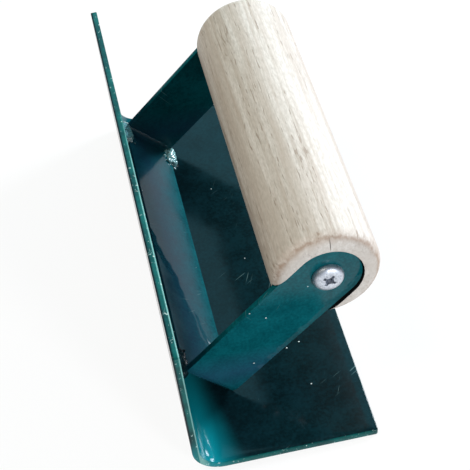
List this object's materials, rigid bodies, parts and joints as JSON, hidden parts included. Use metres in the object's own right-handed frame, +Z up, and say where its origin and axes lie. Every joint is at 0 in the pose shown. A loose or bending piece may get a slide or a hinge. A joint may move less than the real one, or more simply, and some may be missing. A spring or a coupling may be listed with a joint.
{
  "type": "concrete edger",
  "caption": "Hand edger for concrete corners: L-shaped bent steel blade with a round bend, a welded U-shaped strip bracket across its inside corner, and a screwed-on round wooden handle.",
  "frame": {"origin": "middle of the flat underside of the plate, at half the blade's length and half the plate's width", "axes": "+Z up, away from the worked surface under the plate; +Y along the blade; +X from the wall towards the plate's free edge"},
  "size_m": [0.0613, 0.15, 0.0597],
  "materials": {
    "blade_enamel": "gloss dark green enamel on mild steel sheet",
    "bracket_enamel": "gloss dark green enamel on mild steel strip",
    "handle_wood": "pale close-grained wood, turned and sanded, unvarnished",
    "screw_zinc": "bright zinc plate",
    "weld_enamel": "gloss dark green enamel over weld bead"
  },
  "bodies": {
    "root": {"blade": "blade_enamel", "handle_bracket": "bracket_enamel", "handle": "handle_wood", "screw_front": "screw_zinc", "screw_rear": "screw_zinc", "weld_front_wall": "weld_enamel", "weld_front_plate": "weld_enamel", "weld_rear_wall": "weld_enamel", "weld_rear_plate": "weld_enamel"}
  },
  "joints": []
}
